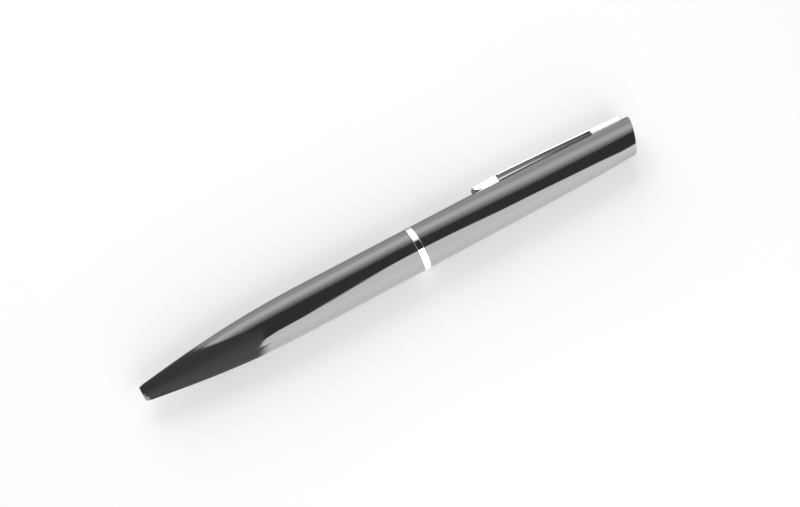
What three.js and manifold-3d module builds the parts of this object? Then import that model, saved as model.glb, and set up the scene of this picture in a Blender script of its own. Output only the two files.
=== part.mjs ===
// A twist-action ballpoint pen with a lacquered metal barrel, a chromed centre ring and a spring clip.
//
// The pen is drawn in its own frame: Y runs along the axis from the nose face (0) to the top, X points
// from the axis to the clip, and every station is measured from the nose face. The exported group lays
// the pen down along X, with the clip towards +Y and the origin under the middle of its bounding box.
// Turning the upper half clockwise, seen from the top, feeds the refill out through the nose.
// Lengths are in millimetres and angles in degrees.

import * as THREE from "three";
import { mergeVertices } from "three/addons/utils/BufferGeometryUtils.js";
import Module from "manifold-3d";

// Outside of the lower barrel
const noseLip = 0.35;
const lipRise = 0.81;
const lipLength = 2.1;
const lipRound = 0.2;
const coneAngle = 7.2;
const coneLength = 45;
const coneEase = 0.3;
const bellyEase = 0.42;
const bodyRadius = 5.8;
const waistDrop = 0.1;
const lowerLength = 74.5;
const edgeChamfer = 0.12;

// Bore of the lower barrel
const tipHoleLength = 3.2;
const springSeatStation = 7;
const springBoreLength = 9;
const barrelWall = 0.9;
const insertShoulder = 0.15;

// Threaded insert and coupling
const insertLength = 11;
const insertWall = 0.9;
const insertSetback = 1;
const lowerMouthWall = 0.75;
const threadLength = 10;
const threadWall = 0.9;
const flangeLength = 1.6;
const flangeStep = 0.4;
const guideStop = 0.55;
const guideStopLength = 2;
const socketLength = 13;
const slipWasherThickness = 0.3;
const frictionSetback = 6;
const frictionGrooveWidth = 1.6;
const frictionGrooveDepth = 0.35;

// Centre ring
const ringRise = 0.06;
const ringWidth = 1.5;
const ringCrown = 0.12;

// Refill
const tipRecess = 2;
const feedTravel = 5;
const feedAngle = 180;
const refillLength = 106.8;
const ballRadius = 0.5;
const ballShow = 0.25;
const tipMouthWall = 0.1;
const tipConeLength = 3;
const stemRadius = 1.15;
const stemLength = 7;
const tubeRadius = 1.5;
const tubeWall = 0.22;
const tipTailLength = 3.5;
const inkChannelRadius = 0.35;
const inkLength = 72;
const earPlace = 25.2;
const earReach = 0.5;
const earLength = 1.4;
const earThickness = 0.6;

// Return spring
const springWireRadius = 0.2;
const springTurns = 11;
const closeTurns = 1;
const closeTurnGap = 0.5;

// Feed mechanism
const guideWall = 0.6;
const guideEndLength = 1;
const followerWall = 0.66;
const followerSocketDepth = 4;
const followerFloor = 1.6;
const followerTail = 2.2;
const pinRadius = 0.6;
const pinSetback = 0.25;
const camFrontMargin = 4;
const camBackMargin = 4.2;
const camRoom = 4;
const thrustWasherThickness = 0.5;
const snapRingThickness = 0.5;
const snapGrooveDepth = 0.3;
const snapRingWidth = 1;
const snapRingOpening = 70;
const shellWall = 0.42;
const shellOverhang = 1.9;

// Upper barrel and end plug
const upperMouthWall = 0.65;
const upperWall = 0.8;
const topRoom = 20.05;
const topRadius = 4.72;
const topSlant = 16.5;
const topEdgeRadius = 0.35;
const slantLength = 11;
const topWall = 0.75;
const topBoreLength = 12;
const plugHeadLength = 3.2;
const plugStemLength = 12;

// Clip
const clipLength = 41.8;
const clipSetback = 0.4;
const clipRootLength = 8.7;
const clipRootHeight = 0.9;
const clipCrownHeight = 1.42;
const clipEndDrop = 0.12;
const clipSheet = 0.45;
const clipPadLength = 7.3;
const clipPadRound = 0.4;
const clipTipHeight = 0.75;
const clipTipLead = 2.4;
const clipRootWidth = 4.2;
const clipTipWidth = 3.6;
const clipCorner = 0.7;
const tongueWidth = 1.6;
const tonguePlace = 4;
const hookLength = 2;

// Fits
const pressGap = 0.04;
const runGap = 0.1;
const faceGap = 0.05;
const splitGap = 0.15;
const tipPlay = 0.15;
const nosePlay = 0.25;
const springBorePlay = 0.25;
const springTubePlay = 0.15;
const threadPlay = 0.1;
const guideSlotPlay = 0.15;
const camSlotPlay = 0.2;
const slotEndPlay = 0.3;
const washerPlay = 0.25;
const tongueSlotPlay = 0.35;
const hookPlay = 0.35;

// Facets
const bodyFacets = 40;
const innerFacets = 32;
const smallFacets = 20;
const curveSteps = 12;
const camSteps = 24;
const springSteps = 8;
const springSides = 5;

// How far a cutting tool runs past the face that it cuts
const overrun = 1;

// Stations of the refill, the cam and what is behind it
const earStation = tipRecess + earPlace;
const refillTail = tipRecess + refillLength;
const followerStation = refillTail - followerSocketDepth;
const pinStation = refillTail + faceGap + followerFloor;
const camStation = pinStation - feedTravel - camFrontMargin;
const camEnd = pinStation + camBackMargin;
const washerStation = camEnd + runGap;
const snapStation = washerStation + thrustWasherThickness + faceGap;
const guideEnd = snapStation + snapRingThickness + faceGap + guideEndLength;
const shellEnd = camEnd + shellOverhang;
const upperMiddle = shellEnd + topRoom;

// Stations of the split between the barrels and of the coupling, which reaches from there to the cam
const insertStation = lowerLength - insertSetback - insertLength;
const threadEnd = lowerLength - insertSetback + faceGap;
const couplingStation = threadEnd - threadLength;
const ringStation = lowerLength + faceGap;
const upperStation = ringStation + ringWidth + splitGap;
const flangeStation = ringStation + ringWidth + faceGap;
const journalStation = flangeStation + flangeLength;
const journalEnd = camStation - camRoom;
const guideStation = journalEnd - socketLength;
const grooveEnd = journalEnd - frictionSetback;
const grooveStart = grooveEnd - frictionGrooveWidth;
const shellStation = journalStation + slipWasherThickness + 2 * faceGap;

// Stations of the clip
const clipEnd = upperMiddle - clipSetback;
const clipTip = clipEnd - clipLength;
const clipRootFront = clipEnd - clipRootLength;
const clipPadBack = clipTip + clipPadLength;
const tongueStation = clipEnd - tonguePlace;

// Radii from the refill outwards
const tipHoleRadius = stemRadius + tipPlay;
const noseFaceRadius = tipHoleRadius + noseLip;
const lipRadius = noseFaceRadius + lipRise;
const noseBoreRadius = tubeRadius + nosePlay;
const springRadius = tubeRadius + springTubePlay + springWireRadius;
const springBoreRadius = springRadius + springWireRadius + springBorePlay;
const socketRadius = tubeRadius + pressGap;
const followerRadius = socketRadius + followerWall;
const guideInnerRadius = followerRadius + runGap;
const guideRadius = guideInnerRadius + guideWall;
const guideSeatRadius = guideRadius + pressGap;
const camInnerRadius = guideRadius + runGap;

// Radii from the outside inwards
const waistRadius = bodyRadius - waistDrop;
const ringRadius = waistRadius + ringRise;
const insertSeatRadius = waistRadius - lowerMouthWall;
const insertRadius = insertSeatRadius - pressGap;
const insertInnerRadius = insertRadius - insertWall;
const threadRadius = insertInnerRadius - threadPlay;
const threadBoreRadius = threadRadius - threadWall;
const lowerBoreRadius = insertSeatRadius - insertShoulder;
const mouthRadius = waistRadius - upperMouthWall;
const flangeRadius = mouthRadius - runGap;
const ringSeatRadius = flangeRadius - flangeStep;
const ringInnerRadius = ringSeatRadius + pressGap;
const upperBoreRadius = waistRadius - upperWall;
const shellRadius = upperBoreRadius - pressGap;
const shellInnerRadius = shellRadius - shellWall;
const journalRadius = shellInnerRadius - runGap;
const grooveRadius = journalRadius - frictionGrooveDepth;
const camRadius = shellInnerRadius - pressGap;
const topBoreRadius = topRadius - topWall;
const hookFloor = topBoreRadius - hookPlay - clipSheet;
const plugStemRadius = hookFloor - hookPlay;

const wasm = await Module();
wasm.setup();

function radians(degrees) {
  return (degrees * Math.PI) / 180;
}

// Distance from the axis to the middle of a facet, for a round of that radius.
function flatRadius(radius, facets) {
  return radius * Math.cos(Math.PI / facets);
}

// An outline is a list of [radius, station]; this makes one from a curve's points.
function pairs(points) {
  return points.map((p) => [p.x, p.y]);
}

// A quarter round from [radius - size, station] to [radius, station - size], turning over the edge.
function overEdge(radius, station, size, steps) {
  const points = [];
  for (let i = 0; i <= steps; i++) {
    const turn = (i / steps) * (Math.PI / 2);
    points.push([radius - size + size * Math.cos(turn), station - size + size * Math.sin(turn)]);
  }
  return points;
}

// Solid of revolution about the pen's axis. Facets are centred on X and Z, so a round lies on a flat.
function revolve(outline, facets = innerFacets) {
  const closed = outline[0][0] > 0 ? [...outline, outline[0]] : outline;
  const points = closed.map(([radius, station]) => new THREE.Vector2(radius, station));
  return new THREE.LatheGeometry(points, facets, Math.PI / facets);
}

// A sleeve from one station to the next, with one bore.
function sleeve(inner, outer, start, end, facets = innerFacets) {
  return revolve([[inner, start], [outer, start], [outer, end], [inner, end]], facets);
}

function box(width, height, depth, x, y, z) {
  return new THREE.BoxGeometry(width, height, depth).translate(x, y, z);
}

// A round bar along X, centred on the axis.
function crossBar(radius, reach, station, facets = smallFacets) {
  return new THREE.CylinderGeometry(radius, radius, 2 * reach, facets)
    .rotateZ(Math.PI / 2)
    .translate(0, station, 0);
}

// A geometry from a list of coordinates and a list of triangles' corners.
function closedMesh(points, faces) {
  const geometry = new THREE.BufferGeometry();
  geometry.setAttribute("position", new THREE.Float32BufferAttribute(points, 3));
  geometry.setIndex(faces);
  return geometry;
}

function solid(geometry) {
  const bare = geometry.clone();
  bare.deleteAttribute("normal");
  bare.deleteAttribute("uv");
  const merged = mergeVertices(bare, 1e-4);
  return new wasm.Manifold(
    new wasm.Mesh({
      numProp: 3,
      vertProperties: new Float32Array(merged.attributes.position.array),
      triVerts: new Uint32Array(merged.index.array),
    }),
  );
}

function geometryOf(body) {
  const mesh = body.getMesh();
  return closedMesh(Array.from(mesh.vertProperties), Array.from(mesh.triVerts));
}

function cut(geometry, ...tools) {
  return geometryOf(tools.reduce((body, tool) => body.subtract(solid(tool)), solid(geometry)));
}

function join(geometry, ...others) {
  return geometryOf(others.reduce((body, other) => body.add(solid(other)), solid(geometry)));
}

function common(geometry, other) {
  return geometryOf(solid(geometry).intersect(solid(other)));
}

// Outside of the upper barrel: almost parallel at the ring, drawn in towards the top.
const upperCurve = new THREE.CubicBezierCurve(
  new THREE.Vector2(waistRadius, upperStation),
  new THREE.Vector2(waistRadius - waistDrop / 2, upperStation + 0.4 * (upperMiddle - upperStation)),
  new THREE.Vector2(waistRadius - waistDrop, upperStation + 0.72 * (upperMiddle - upperStation)),
  new THREE.Vector2(topRadius, upperMiddle),
);

const upperOutside = pairs(upperCurve.getPoints(curveSteps));

// Radius of the upper barrel at a station, found by halving.
function upperRadius(station) {
  let low = 0;
  let high = 1;
  for (let i = 0; i < 30; i++) {
    const middle = (low + high) / 2;
    if (upperCurve.getPoint(middle).y < station) low = middle;
    else high = middle;
  }
  return upperCurve.getPoint(low).x;
}

// Leans the stations near the top, so that the end face and what closes it slant towards the clip.
function slanted(geometry) {
  const position = geometry.attributes.position;
  for (let i = 0; i < position.count; i++) {
    const share = (position.getY(i) - upperMiddle + slantLength) / slantLength;
    const lean = Math.min(Math.max(share, 0), 1) * Math.tan(radians(topSlant));
    position.setY(i, position.getY(i) + lean * position.getX(i));
  }
  return geometry;
}

function lowerBarrel() {
  const slope = Math.tan(radians(coneAngle));
  const pull = coneEase * (coneLength - lipLength);
  const lip = new THREE.QuadraticBezierCurve(
    new THREE.Vector2(noseFaceRadius, 0),
    new THREE.Vector2(lipRadius - lipRound, lipLength / 2),
    new THREE.Vector2(lipRadius, lipLength),
  );
  const ogive = new THREE.CubicBezierCurve(
    new THREE.Vector2(lipRadius, lipLength),
    new THREE.Vector2(lipRadius + slope * pull, lipLength + pull),
    new THREE.Vector2(bodyRadius, coneLength - bellyEase * (coneLength - lipLength)),
    new THREE.Vector2(bodyRadius, coneLength),
  );
  const outside = pairs(ogive.getPoints(curveSteps));
  const springBoreEnd = springSeatStation + springBoreLength;
  const inside = outside
    .map(([radius, station]) => [radius - barrelWall, station])
    .filter(([radius, station]) => station > springBoreEnd && radius < lowerBoreRadius)
    .reverse();
  return revolve(
    [
      [tipHoleRadius, 0],
      ...pairs(lip.getPoints(4)),
      ...outside.slice(1),
      [waistRadius, lowerLength - edgeChamfer],
      [waistRadius - edgeChamfer, lowerLength],
      [insertSeatRadius, lowerLength],
      [insertSeatRadius, insertStation - faceGap],
      [lowerBoreRadius, insertStation - faceGap],
      [lowerBoreRadius, coneLength],
      ...inside,
      [springBoreRadius, springBoreEnd],
      [springBoreRadius, springSeatStation],
      [noseBoreRadius, springSeatStation],
      [noseBoreRadius, tipHoleLength + noseBoreRadius - tipHoleRadius],
      [tipHoleRadius, tipHoleLength],
    ],
    bodyFacets,
  );
}

function threadInsert() {
  return sleeve(insertInnerRadius, insertRadius, 0, insertLength);
}

function centreRing() {
  return revolve(
    [
      [ringInnerRadius, 0],
      [ringRadius - ringCrown, 0],
      [ringRadius, ringCrown],
      [ringRadius, ringWidth - ringCrown],
      [ringRadius - ringCrown, ringWidth],
      [ringInnerRadius, ringWidth],
    ],
    bodyFacets,
  );
}

function coupling() {
  const stopStation = guideStation - faceGap;
  return revolve([
    [threadBoreRadius, couplingStation],
    [threadRadius - edgeChamfer, couplingStation],
    [threadRadius, couplingStation + edgeChamfer],
    [threadRadius, threadEnd + faceGap],
    [ringSeatRadius, threadEnd + faceGap],
    [ringSeatRadius, flangeStation],
    [flangeRadius, flangeStation],
    [flangeRadius, journalStation],
    [journalRadius, journalStation],
    [journalRadius, grooveStart],
    [grooveRadius, grooveStart],
    [grooveRadius, grooveEnd],
    [journalRadius, grooveEnd],
    [journalRadius, journalEnd],
    [guideSeatRadius, journalEnd],
    [guideSeatRadius, stopStation],
    [guideSeatRadius - guideStop, stopStation],
    [guideSeatRadius - guideStop, stopStation - guideStopLength],
    [threadBoreRadius, stopStation - guideStopLength - guideStop],
  ]);
}

function slipWasher() {
  return sleeve(journalRadius + pressGap, flangeRadius - runGap, 0, slipWasherThickness);
}

function frictionRing() {
  const inner = grooveRadius + pressGap;
  const outer = flatRadius(shellInnerRadius, innerFacets) - faceGap;
  const width = frictionGrooveWidth - 2 * runGap;
  const shoulder = (outer - inner) / 2;
  return revolve([
    [inner, 0],
    [outer - shoulder, 0],
    [outer, shoulder],
    [outer, width - shoulder],
    [outer - shoulder, width],
    [inner, width],
  ]);
}

function guideTube() {
  const snapStart = snapStation - faceGap;
  const snapEnd = snapStation + snapRingThickness + faceGap;
  const tube = revolve([
    [guideInnerRadius, guideStation],
    [guideRadius, guideStation],
    [guideRadius, snapStart],
    [guideRadius - snapGrooveDepth, snapStart],
    [guideRadius - snapGrooveDepth, snapEnd],
    [guideRadius, snapEnd],
    [guideRadius, guideEnd],
    [guideInnerRadius, guideEnd],
  ]);
  const front = pinStation - feedTravel - slotEndPlay;
  const back = pinStation + slotEndPlay;
  const reach = guideRadius + overrun;
  const half = pinRadius + guideSlotPlay;
  return cut(
    tube,
    box(2 * reach, back - front, 2 * half, 0, (front + back) / 2, 0),
    crossBar(half, reach, front),
    crossBar(half, reach, back),
  );
}

// The plunger: a turned bar with the refill's socket at its front and the cross pin's bore near its rear.
function follower() {
  const end = pinStation + followerTail;
  const bar = revolve([
    [0, followerStation],
    [followerRadius - edgeChamfer, followerStation],
    [followerRadius, followerStation + edgeChamfer],
    [followerRadius, end - edgeChamfer],
    [followerRadius - edgeChamfer, end],
    [0, end],
  ]);
  const socket = revolve([
    [0, followerStation - overrun],
    [socketRadius, followerStation - overrun],
    [socketRadius, refillTail + faceGap],
    [0, refillTail + faceGap],
  ]);
  return cut(bar, socket, crossBar(pinRadius + pressGap, followerRadius + overrun, pinStation));
}

function crossPin() {
  return crossBar(pinRadius, camRadius - pinSetback, 0);
}

// A bar as deep as the sleeve's wall, carried down the helix that the pin follows.
function camSlot(startAngle) {
  const middleRadius = (camInnerRadius + camRadius) / 2;
  const sweep = radians(feedAngle);
  const climb = Math.atan(feedTravel / (sweep * middleRadius));
  const half = (pinRadius + camSlotPlay) / Math.cos(climb);
  const inner = camInnerRadius - overrun;
  const outer = camRadius + overrun;
  const points = [];
  const faces = [];
  for (let i = 0; i <= camSteps; i++) {
    const turn = startAngle + (i / camSteps) * sweep;
    const station = pinStation - (i / camSteps) * feedTravel;
    for (const [radius, offset] of [[inner, -half], [outer, -half], [outer, half], [inner, half]]) {
      points.push(radius * Math.cos(turn), station + offset, -radius * Math.sin(turn));
    }
  }
  for (let i = 0; i < camSteps; i++) {
    for (let k = 0; k < 4; k++) {
      const a = 4 * i + k;
      const b = 4 * i + ((k + 1) % 4);
      faces.push(a, a + 4, b, b, a + 4, b + 4);
    }
  }
  const last = 4 * camSteps;
  faces.push(0, 1, 2, 0, 2, 3, last, last + 2, last + 1, last, last + 3, last + 2);
  return closedMesh(points, faces);
}

// The round end of a cam slot: a short bar that points away from the axis.
function camSlotEnd(angle, station) {
  const radius = pinRadius + camSlotPlay;
  return new THREE.CylinderGeometry(radius, radius, camRadius, smallFacets)
    .rotateZ(Math.PI / 2)
    .translate(camRadius / 2 + overrun, 0, 0)
    .rotateY(angle)
    .translate(0, station, 0);
}

function camSleeve() {
  const tools = [];
  for (const start of [0, Math.PI]) {
    tools.push(camSlot(start));
    tools.push(camSlotEnd(start, pinStation));
    tools.push(camSlotEnd(start + radians(feedAngle), pinStation - feedTravel));
  }
  return cut(sleeve(camInnerRadius, camRadius, camStation, camEnd), ...tools);
}

function thrustWasher() {
  return sleeve(guideSeatRadius, shellInnerRadius - washerPlay, 0, thrustWasherThickness);
}

// An open ring that springs into the guide tube's groove.
function snapRing() {
  const inner = guideRadius - snapGrooveDepth + pressGap;
  const outer = inner + snapRingWidth;
  const half = radians(snapRingOpening) / 2;
  const outline = new THREE.Shape();
  outline.absarc(0, 0, outer, half, 2 * Math.PI - half, false);
  outline.absarc(0, 0, inner, 2 * Math.PI - half, half, true);
  outline.closePath();
  return new THREE.ExtrudeGeometry(outline, {
    depth: snapRingThickness,
    bevelEnabled: false,
    curveSegments: smallFacets,
  })
    .rotateX(Math.PI / 2)
    .translate(0, snapRingThickness, 0);
}

function mechanismShell() {
  return sleeve(shellInnerRadius, shellRadius, 0, shellEnd - shellStation);
}

function refillTube() {
  const start = tipRecess + stemLength;
  const tube = sleeve(tubeRadius - tubeWall, tubeRadius, start, refillTail, smallFacets);
  const span = 2 * (tubeRadius + earReach);
  const ears = box(span, earLength, earThickness, 0, earStation + earLength / 2, 0);
  const bore = revolve(
    [
      [0, earStation - overrun],
      [tubeRadius - tubeWall, earStation - overrun],
      [tubeRadius - tubeWall, earStation + earLength + overrun],
      [0, earStation + earLength + overrun],
    ],
    smallFacets,
  );
  return cut(join(tube, ears), bore);
}

// The writing point: a cone with the ball's cup at its mouth, a stem, and a tail pressed into the tube.
function refillTip() {
  const mouth = ballShow;
  const cup = ballRadius + pressGap;
  const mouthRadius = Math.sqrt(ballRadius ** 2 - (ballRadius - ballShow) ** 2) + pressGap / 2;
  const tailRadius = tubeRadius - tubeWall - pressGap;
  return revolve(
    [
      [mouthRadius, mouth],
      [mouthRadius + tipMouthWall, mouth],
      [stemRadius, mouth + tipConeLength],
      [stemRadius, stemLength - faceGap],
      [tubeRadius - edgeChamfer, stemLength - faceGap],
      [tailRadius, stemLength],
      [tailRadius, stemLength + tipTailLength],
      [inkChannelRadius, stemLength + tipTailLength],
      [inkChannelRadius, 2 * ballRadius + 3 * pressGap],
      [cup, 2 * ballRadius + pressGap],
      [cup, ballRadius],
    ],
    smallFacets,
  );
}

function refillBall() {
  return new THREE.SphereGeometry(ballRadius, 16, 10);
}

function inkColumn() {
  const start = tipRecess + stemLength + tipTailLength + faceGap;
  const end = start + inkLength;
  const radius = tubeRadius - tubeWall - pressGap;
  return revolve([[0, start], [radius, start], [radius, end], [0, end]], smallFacets);
}

// The centre line of the spring's wire: a helix whose end turns are wound closer, with straight ends.
function springLine() {
  const start = springSeatStation + faceGap + springWireRadius;
  const end = earStation - faceGap - springWireRadius;
  const closePitch = 2 * springWireRadius + closeTurnGap;
  const openPitch = (end - start - 2 * closeTurns * closePitch) / (springTurns - 2 * closeTurns);
  const line = [];
  for (let i = 0; i <= springTurns * springSteps; i++) {
    const turn = i / springSteps;
    const close = Math.min(turn, closeTurns) + Math.max(turn - springTurns + closeTurns, 0);
    const station = start + close * closePitch + (turn - close) * openPitch;
    const angle = 2 * Math.PI * turn;
    line.push(new THREE.Vector3(springRadius * Math.cos(angle), station, springRadius * Math.sin(angle)));
  }
  const straight = new THREE.Vector3(0, 0, 2 * springWireRadius);
  line.unshift(line[0].clone().sub(straight));
  line.push(line[line.length - 1].clone().add(straight));
  return line;
}

// The least gap between the wire's turns, measured on the points of its centre line.
function leastWireGap(line) {
  let least = Infinity;
  for (let i = 0; i < line.length; i++) {
    for (let j = i + springSteps / 2; j < line.length; j++) {
      least = Math.min(least, line[i].distanceTo(line[j]) - 2 * springWireRadius);
    }
  }
  return least;
}

// The spring is one unbroken tube along its centre line.
function returnSpring() {
  const line = springLine();
  console.log("return spring: least gap of the wire to itself", leastWireGap(line).toFixed(2), "mm");
  const points = [];
  const faces = [];
  const axis = new THREE.Vector3(0, 1, 0);
  const last = line.length - 1;
  line.forEach((p, i) => {
    const along = line[Math.min(i + 1, last)].clone().sub(line[Math.max(i - 1, 0)]).normalize();
    const side = new THREE.Vector3().crossVectors(along, axis).normalize();
    const up = new THREE.Vector3().crossVectors(along, side);
    for (let k = 0; k < springSides; k++) {
      const turn = (2 * Math.PI * k) / springSides;
      const q = p
        .clone()
        .addScaledVector(side, springWireRadius * Math.cos(turn))
        .addScaledVector(up, springWireRadius * Math.sin(turn));
      points.push(q.x, q.y, q.z);
    }
  });
  for (let i = 0; i < last; i++) {
    for (let k = 0; k < springSides; k++) {
      const a = springSides * i + k;
      const b = springSides * i + ((k + 1) % springSides);
      faces.push(a, b, a + springSides, b, b + springSides, a + springSides);
    }
  }
  const end = springSides * last;
  for (let k = 1; k < springSides - 1; k++) {
    faces.push(0, k + 1, k, end, end + k, end + k + 1);
  }
  return closedMesh(points, faces);
}

function upperBarrel() {
  const mouthEnd = shellStation - faceGap;
  const shell = revolve(
    [
      [mouthRadius, upperStation],
      [waistRadius - edgeChamfer, upperStation],
      [waistRadius, upperStation + edgeChamfer],
      ...upperOutside.slice(1, -1),
      ...overEdge(topRadius, upperMiddle, topEdgeRadius, 3),
      [topBoreRadius, upperMiddle],
      [topBoreRadius, upperMiddle - topBoreLength],
      [upperBoreRadius, shellEnd + faceGap],
      [upperBoreRadius, mouthEnd],
      [mouthRadius, mouthEnd],
    ],
    bodyFacets,
  );
  const slotFront = tongueStation - hookLength - tongueSlotPlay;
  const slotBack = tongueStation + clipSheet + tongueSlotPlay;
  const slot = box(
    topRadius,
    slotBack - slotFront,
    tongueWidth + 2 * tongueSlotPlay,
    topBoreRadius - overrun + topRadius / 2,
    (slotFront + slotBack) / 2,
    0,
  );
  return cut(slanted(shell), slot);
}

// Closes the slanted top: a head in the barrel's bore, and a stem that keeps the clip's hook in its slot.
function endPlug() {
  const headRadius = topBoreRadius - pressGap;
  return slanted(
    revolve(
      [
        [0, upperMiddle - plugHeadLength - plugStemLength],
        [plugStemRadius, upperMiddle - plugHeadLength - plugStemLength],
        [plugStemRadius, upperMiddle - plugHeadLength],
        [headRadius, upperMiddle - plugHeadLength],
        [headRadius, upperMiddle - edgeChamfer],
        [headRadius - edgeChamfer, upperMiddle],
        [0, upperMiddle],
      ],
      bodyFacets,
    ),
  );
}

// The clip seen from the side: a thick root, a thin sprung sheet, and a pad pressed into the sheet's end.
function clipSide() {
  const middle = (clipRootFront + clipPadBack) / 2;
  const outer = new THREE.SplineCurve(
    [
      [clipEnd, clipRootHeight - clipEndDrop],
      [clipRootFront, clipRootHeight],
      [middle, (clipRootHeight + clipCrownHeight) / 2],
      [clipPadBack, clipCrownHeight],
      [clipTip + clipTipLead, clipCrownHeight - clipEndDrop],
      [clipTip, clipTipHeight],
    ].map(([station, height]) => new THREE.Vector2(upperRadius(station) + height, station)),
  ).getPoints(2 * curveSteps);
  const strip = outer.filter((p) => p.y < clipRootFront && p.y > clipPadBack).reverse();
  const saddleDepth = (station) => Math.sqrt(upperRadius(station) ** 2 - clipRootWidth ** 2 / 4);
  const padFloor = (station) => upperRadius(station) + faceGap;
  const padFront = clipTip + clipTipLead;
  const padEnd = clipPadBack - clipPadRound;
  const outline = new THREE.Shape(outer);
  outline.quadraticCurveTo(padFloor(padFront), clipTip + clipPadRound, padFloor(padFront), padFront);
  outline.lineTo(padFloor(padEnd), padEnd);
  strip.forEach((p) => outline.lineTo(p.x - clipSheet, p.y));
  outline.lineTo(upperRadius(clipRootFront) + clipRootHeight - clipSheet, clipRootFront);
  outline.lineTo(saddleDepth(clipRootFront) - faceGap, clipRootFront);
  outline.lineTo(saddleDepth(clipEnd) - faceGap, clipEnd);
  outline.closePath();
  return new THREE.ExtrudeGeometry(outline, {
    depth: clipRootWidth + 2 * overrun,
    bevelEnabled: false,
    curveSegments: 6,
  }).translate(0, 0, -clipRootWidth / 2 - overrun);
}

// The clip seen from outside: a long taper with a round tip and softened corners at the root.
function clipPlan() {
  const root = clipRootWidth / 2;
  const tip = clipTipWidth / 2;
  const outline = new THREE.Shape();
  outline.moveTo(-root + clipCorner, clipEnd);
  outline.quadraticCurveTo(-root, clipEnd, -root, clipEnd - clipCorner);
  outline.lineTo(-tip, clipTip + tip);
  outline.absarc(0, clipTip + tip, tip, Math.PI, 2 * Math.PI, false);
  outline.lineTo(root, clipEnd - clipCorner);
  outline.quadraticCurveTo(root, clipEnd, root - clipCorner, clipEnd);
  outline.closePath();
  return new THREE.ExtrudeGeometry(outline, {
    depth: bodyRadius,
    bevelEnabled: false,
    curveSegments: 8,
  })
    .rotateY(Math.PI / 2)
    .translate(topRadius / 2, 0, 0);
}

// The clip with its saddle cut to the barrel and its tongue, which hooks forwards under the barrel's wall.
function clip() {
  const blank = common(clipSide(), clipPlan());
  const seat = upperOutside.map(([radius, station]) => [radius + faceGap, station]);
  const barrel = slanted(revolve([[0, upperStation], ...seat, [0, upperMiddle]], bodyFacets));
  const tongueTop = upperRadius(tongueStation) + clipRootHeight / 2;
  return join(
    cut(blank, barrel),
    box(
      tongueTop - hookFloor,
      clipSheet,
      tongueWidth,
      (tongueTop + hookFloor) / 2,
      tongueStation + clipSheet / 2,
      0,
    ),
    box(
      clipSheet,
      hookLength + clipSheet,
      tongueWidth,
      hookFloor + clipSheet / 2,
      tongueStation + (clipSheet - hookLength) / 2,
      0,
    ),
  );
}

const lacquer = { color: 0x0b0b0c, roughness: 0.12, metalness: 0 };
const chrome = { color: 0xdcdde0, roughness: 0.06, metalness: 1 };
const brass = { color: 0xc9a14a, roughness: 0.3, metalness: 1 };
const steel = { color: 0xa8abb0, roughness: 0.28, metalness: 1 };
const nickel = { color: 0xb9b5a8, roughness: 0.25, metalness: 1 };
const whitePlastic = { color: 0xe8e6df, roughness: 0.45, metalness: 0 };
const blackPlastic = { color: 0x141414, roughness: 0.4, metalness: 0 };
const rubber = { color: 0x1c1c1c, roughness: 0.8, metalness: 0 };
const ink = { color: 0x10184a, roughness: 0.3, metalness: 0 };

function piece(name, geometry, look, station = 0) {
  const mesh = new THREE.Mesh(geometry, new THREE.MeshStandardMaterial(look));
  mesh.name = name;
  mesh.position.y = station;
  return mesh;
}

function group(...members) {
  const made = new THREE.Group();
  made.add(...members);
  return made;
}

const lowerHalf = group(
  piece("lower_barrel", lowerBarrel(), lacquer),
  piece("thread_insert", threadInsert(), brass, insertStation),
);

const mechanism = group(
  piece("coupling", coupling(), brass),
  piece("centre_ring", centreRing(), chrome, ringStation),
  piece("slip_washer", slipWasher(), whitePlastic, journalStation + faceGap),
  piece("friction_ring", frictionRing(), rubber, grooveStart + runGap),
  piece("guide_tube", guideTube(), steel),
  piece("thrust_washer", thrustWasher(), steel, washerStation),
  piece("snap_ring", snapRing(), steel, snapStation),
  piece("return_spring", returnSpring(), steel),
);

const refill = group(
  piece("follower", follower(), whitePlastic),
  piece("cross_pin", crossPin(), steel, pinStation),
  piece("refill_tube", refillTube(), nickel),
  piece("refill_tip", refillTip(), brass, tipRecess),
  piece("refill_ball", refillBall(), steel, tipRecess + ballRadius),
  piece("ink_column", inkColumn(), ink),
);

const upperHalf = group(
  piece("upper_barrel", upperBarrel(), lacquer),
  piece("mechanism_shell", mechanismShell(), brass, shellStation),
  piece("cam_sleeve", camSleeve(), blackPlastic),
  piece("end_plug", endPlug(), blackPlastic),
  piece("clip", clip(), chrome),
);

// Lay the pen down: its axis along X and the clip towards +Y, with the origin under its middle.
const pen = group(lowerHalf, mechanism, refill, upperHalf);
pen.quaternion.setFromRotationMatrix(
  new THREE.Matrix4().makeBasis(
    new THREE.Vector3(0, 1, 0),
    new THREE.Vector3(1, 0, 0),
    new THREE.Vector3(0, 0, -1),
  ),
);
const bounds = new THREE.Box3().setFromObject(pen, true);
pen.position.copy(bounds.getCenter(new THREE.Vector3()).negate());
pen.position.z = -bounds.min.z;

export default group(pen);
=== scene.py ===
import math

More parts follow.
